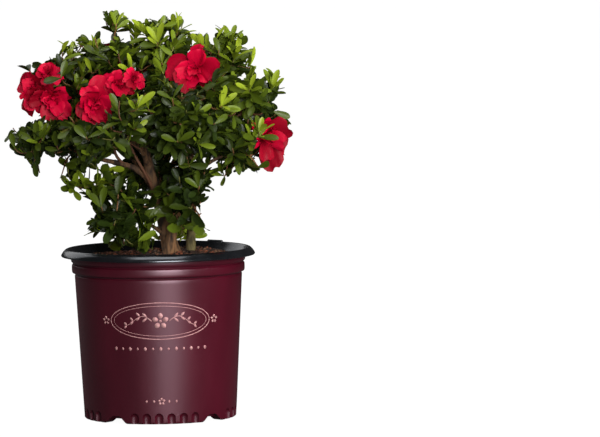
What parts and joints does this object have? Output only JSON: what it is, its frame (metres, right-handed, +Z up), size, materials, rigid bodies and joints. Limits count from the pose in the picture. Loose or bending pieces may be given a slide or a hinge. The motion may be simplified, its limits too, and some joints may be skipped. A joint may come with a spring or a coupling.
{
  "type": "potted azalea shrub",
  "caption": "Bushy evergreen azalea in red double flower, several woody stems and whorled oval leaves, growing in a round black-lipped nursery pot.",
  "frame": {"origin": "middle of the pot's flat underside, on the pad in the middle of its floor", "axes": "+Z up, front of the plant towards -Y, its right side towards +X as seen from the front"},
  "size_m": [0.3018, 0.2426, 0.4262],
  "materials": {
    "pot": "smooth burgundy plastic with a soft sheen",
    "rim": "glossy black plastic lip and inside",
    "print": "dusty pink printed ornament",
    "soil": "dark potting mix with bark chips",
    "bark": "finely flaked grey-brown to reddish bark",
    "foliage": "leathery leaves with a soft gloss, young ones yellow-green",
    "blossom": "velvety red ruffled petals"
  },
  "bodies": {
    "root": {"pot": "pot", "soil": "soil", "trunk": "bark", "stem_front": "bark", "stem_right": "bark", "bough_far_left": "bark", "bough_upper_left": "bark", "bough_top_left": "bark", "bough_top": "bark", "bough_top_right": "bark", "bough_right": "bark", "bough_low_right": "bark", "bough_front_left": "bark", "bough_front_right": "bark", "bough_back_left": "bark", "bough_back_right": "bark", "bough_back": "bark", "shoot_low_left": "bark", "shoot_low_right": "bark", "foliage_far_left": "foliage", "foliage_upper_left": "foliage", "foliage_top_left": "foliage", "foliage_top": "foliage", "foliage_top_right": "foliage", "foliage_right": "foliage", "foliage_low_right": "foliage", "foliage_front_left": "foliage", "foliage_front_right": "foliage", "foliage_back_left": "foliage", "foliage_back_right": "foliage", "foliage_back": "foliage", "foliage_low_left": "foliage", "foliage_low_right_inner": "foliage"}
  },
  "joints": []
}
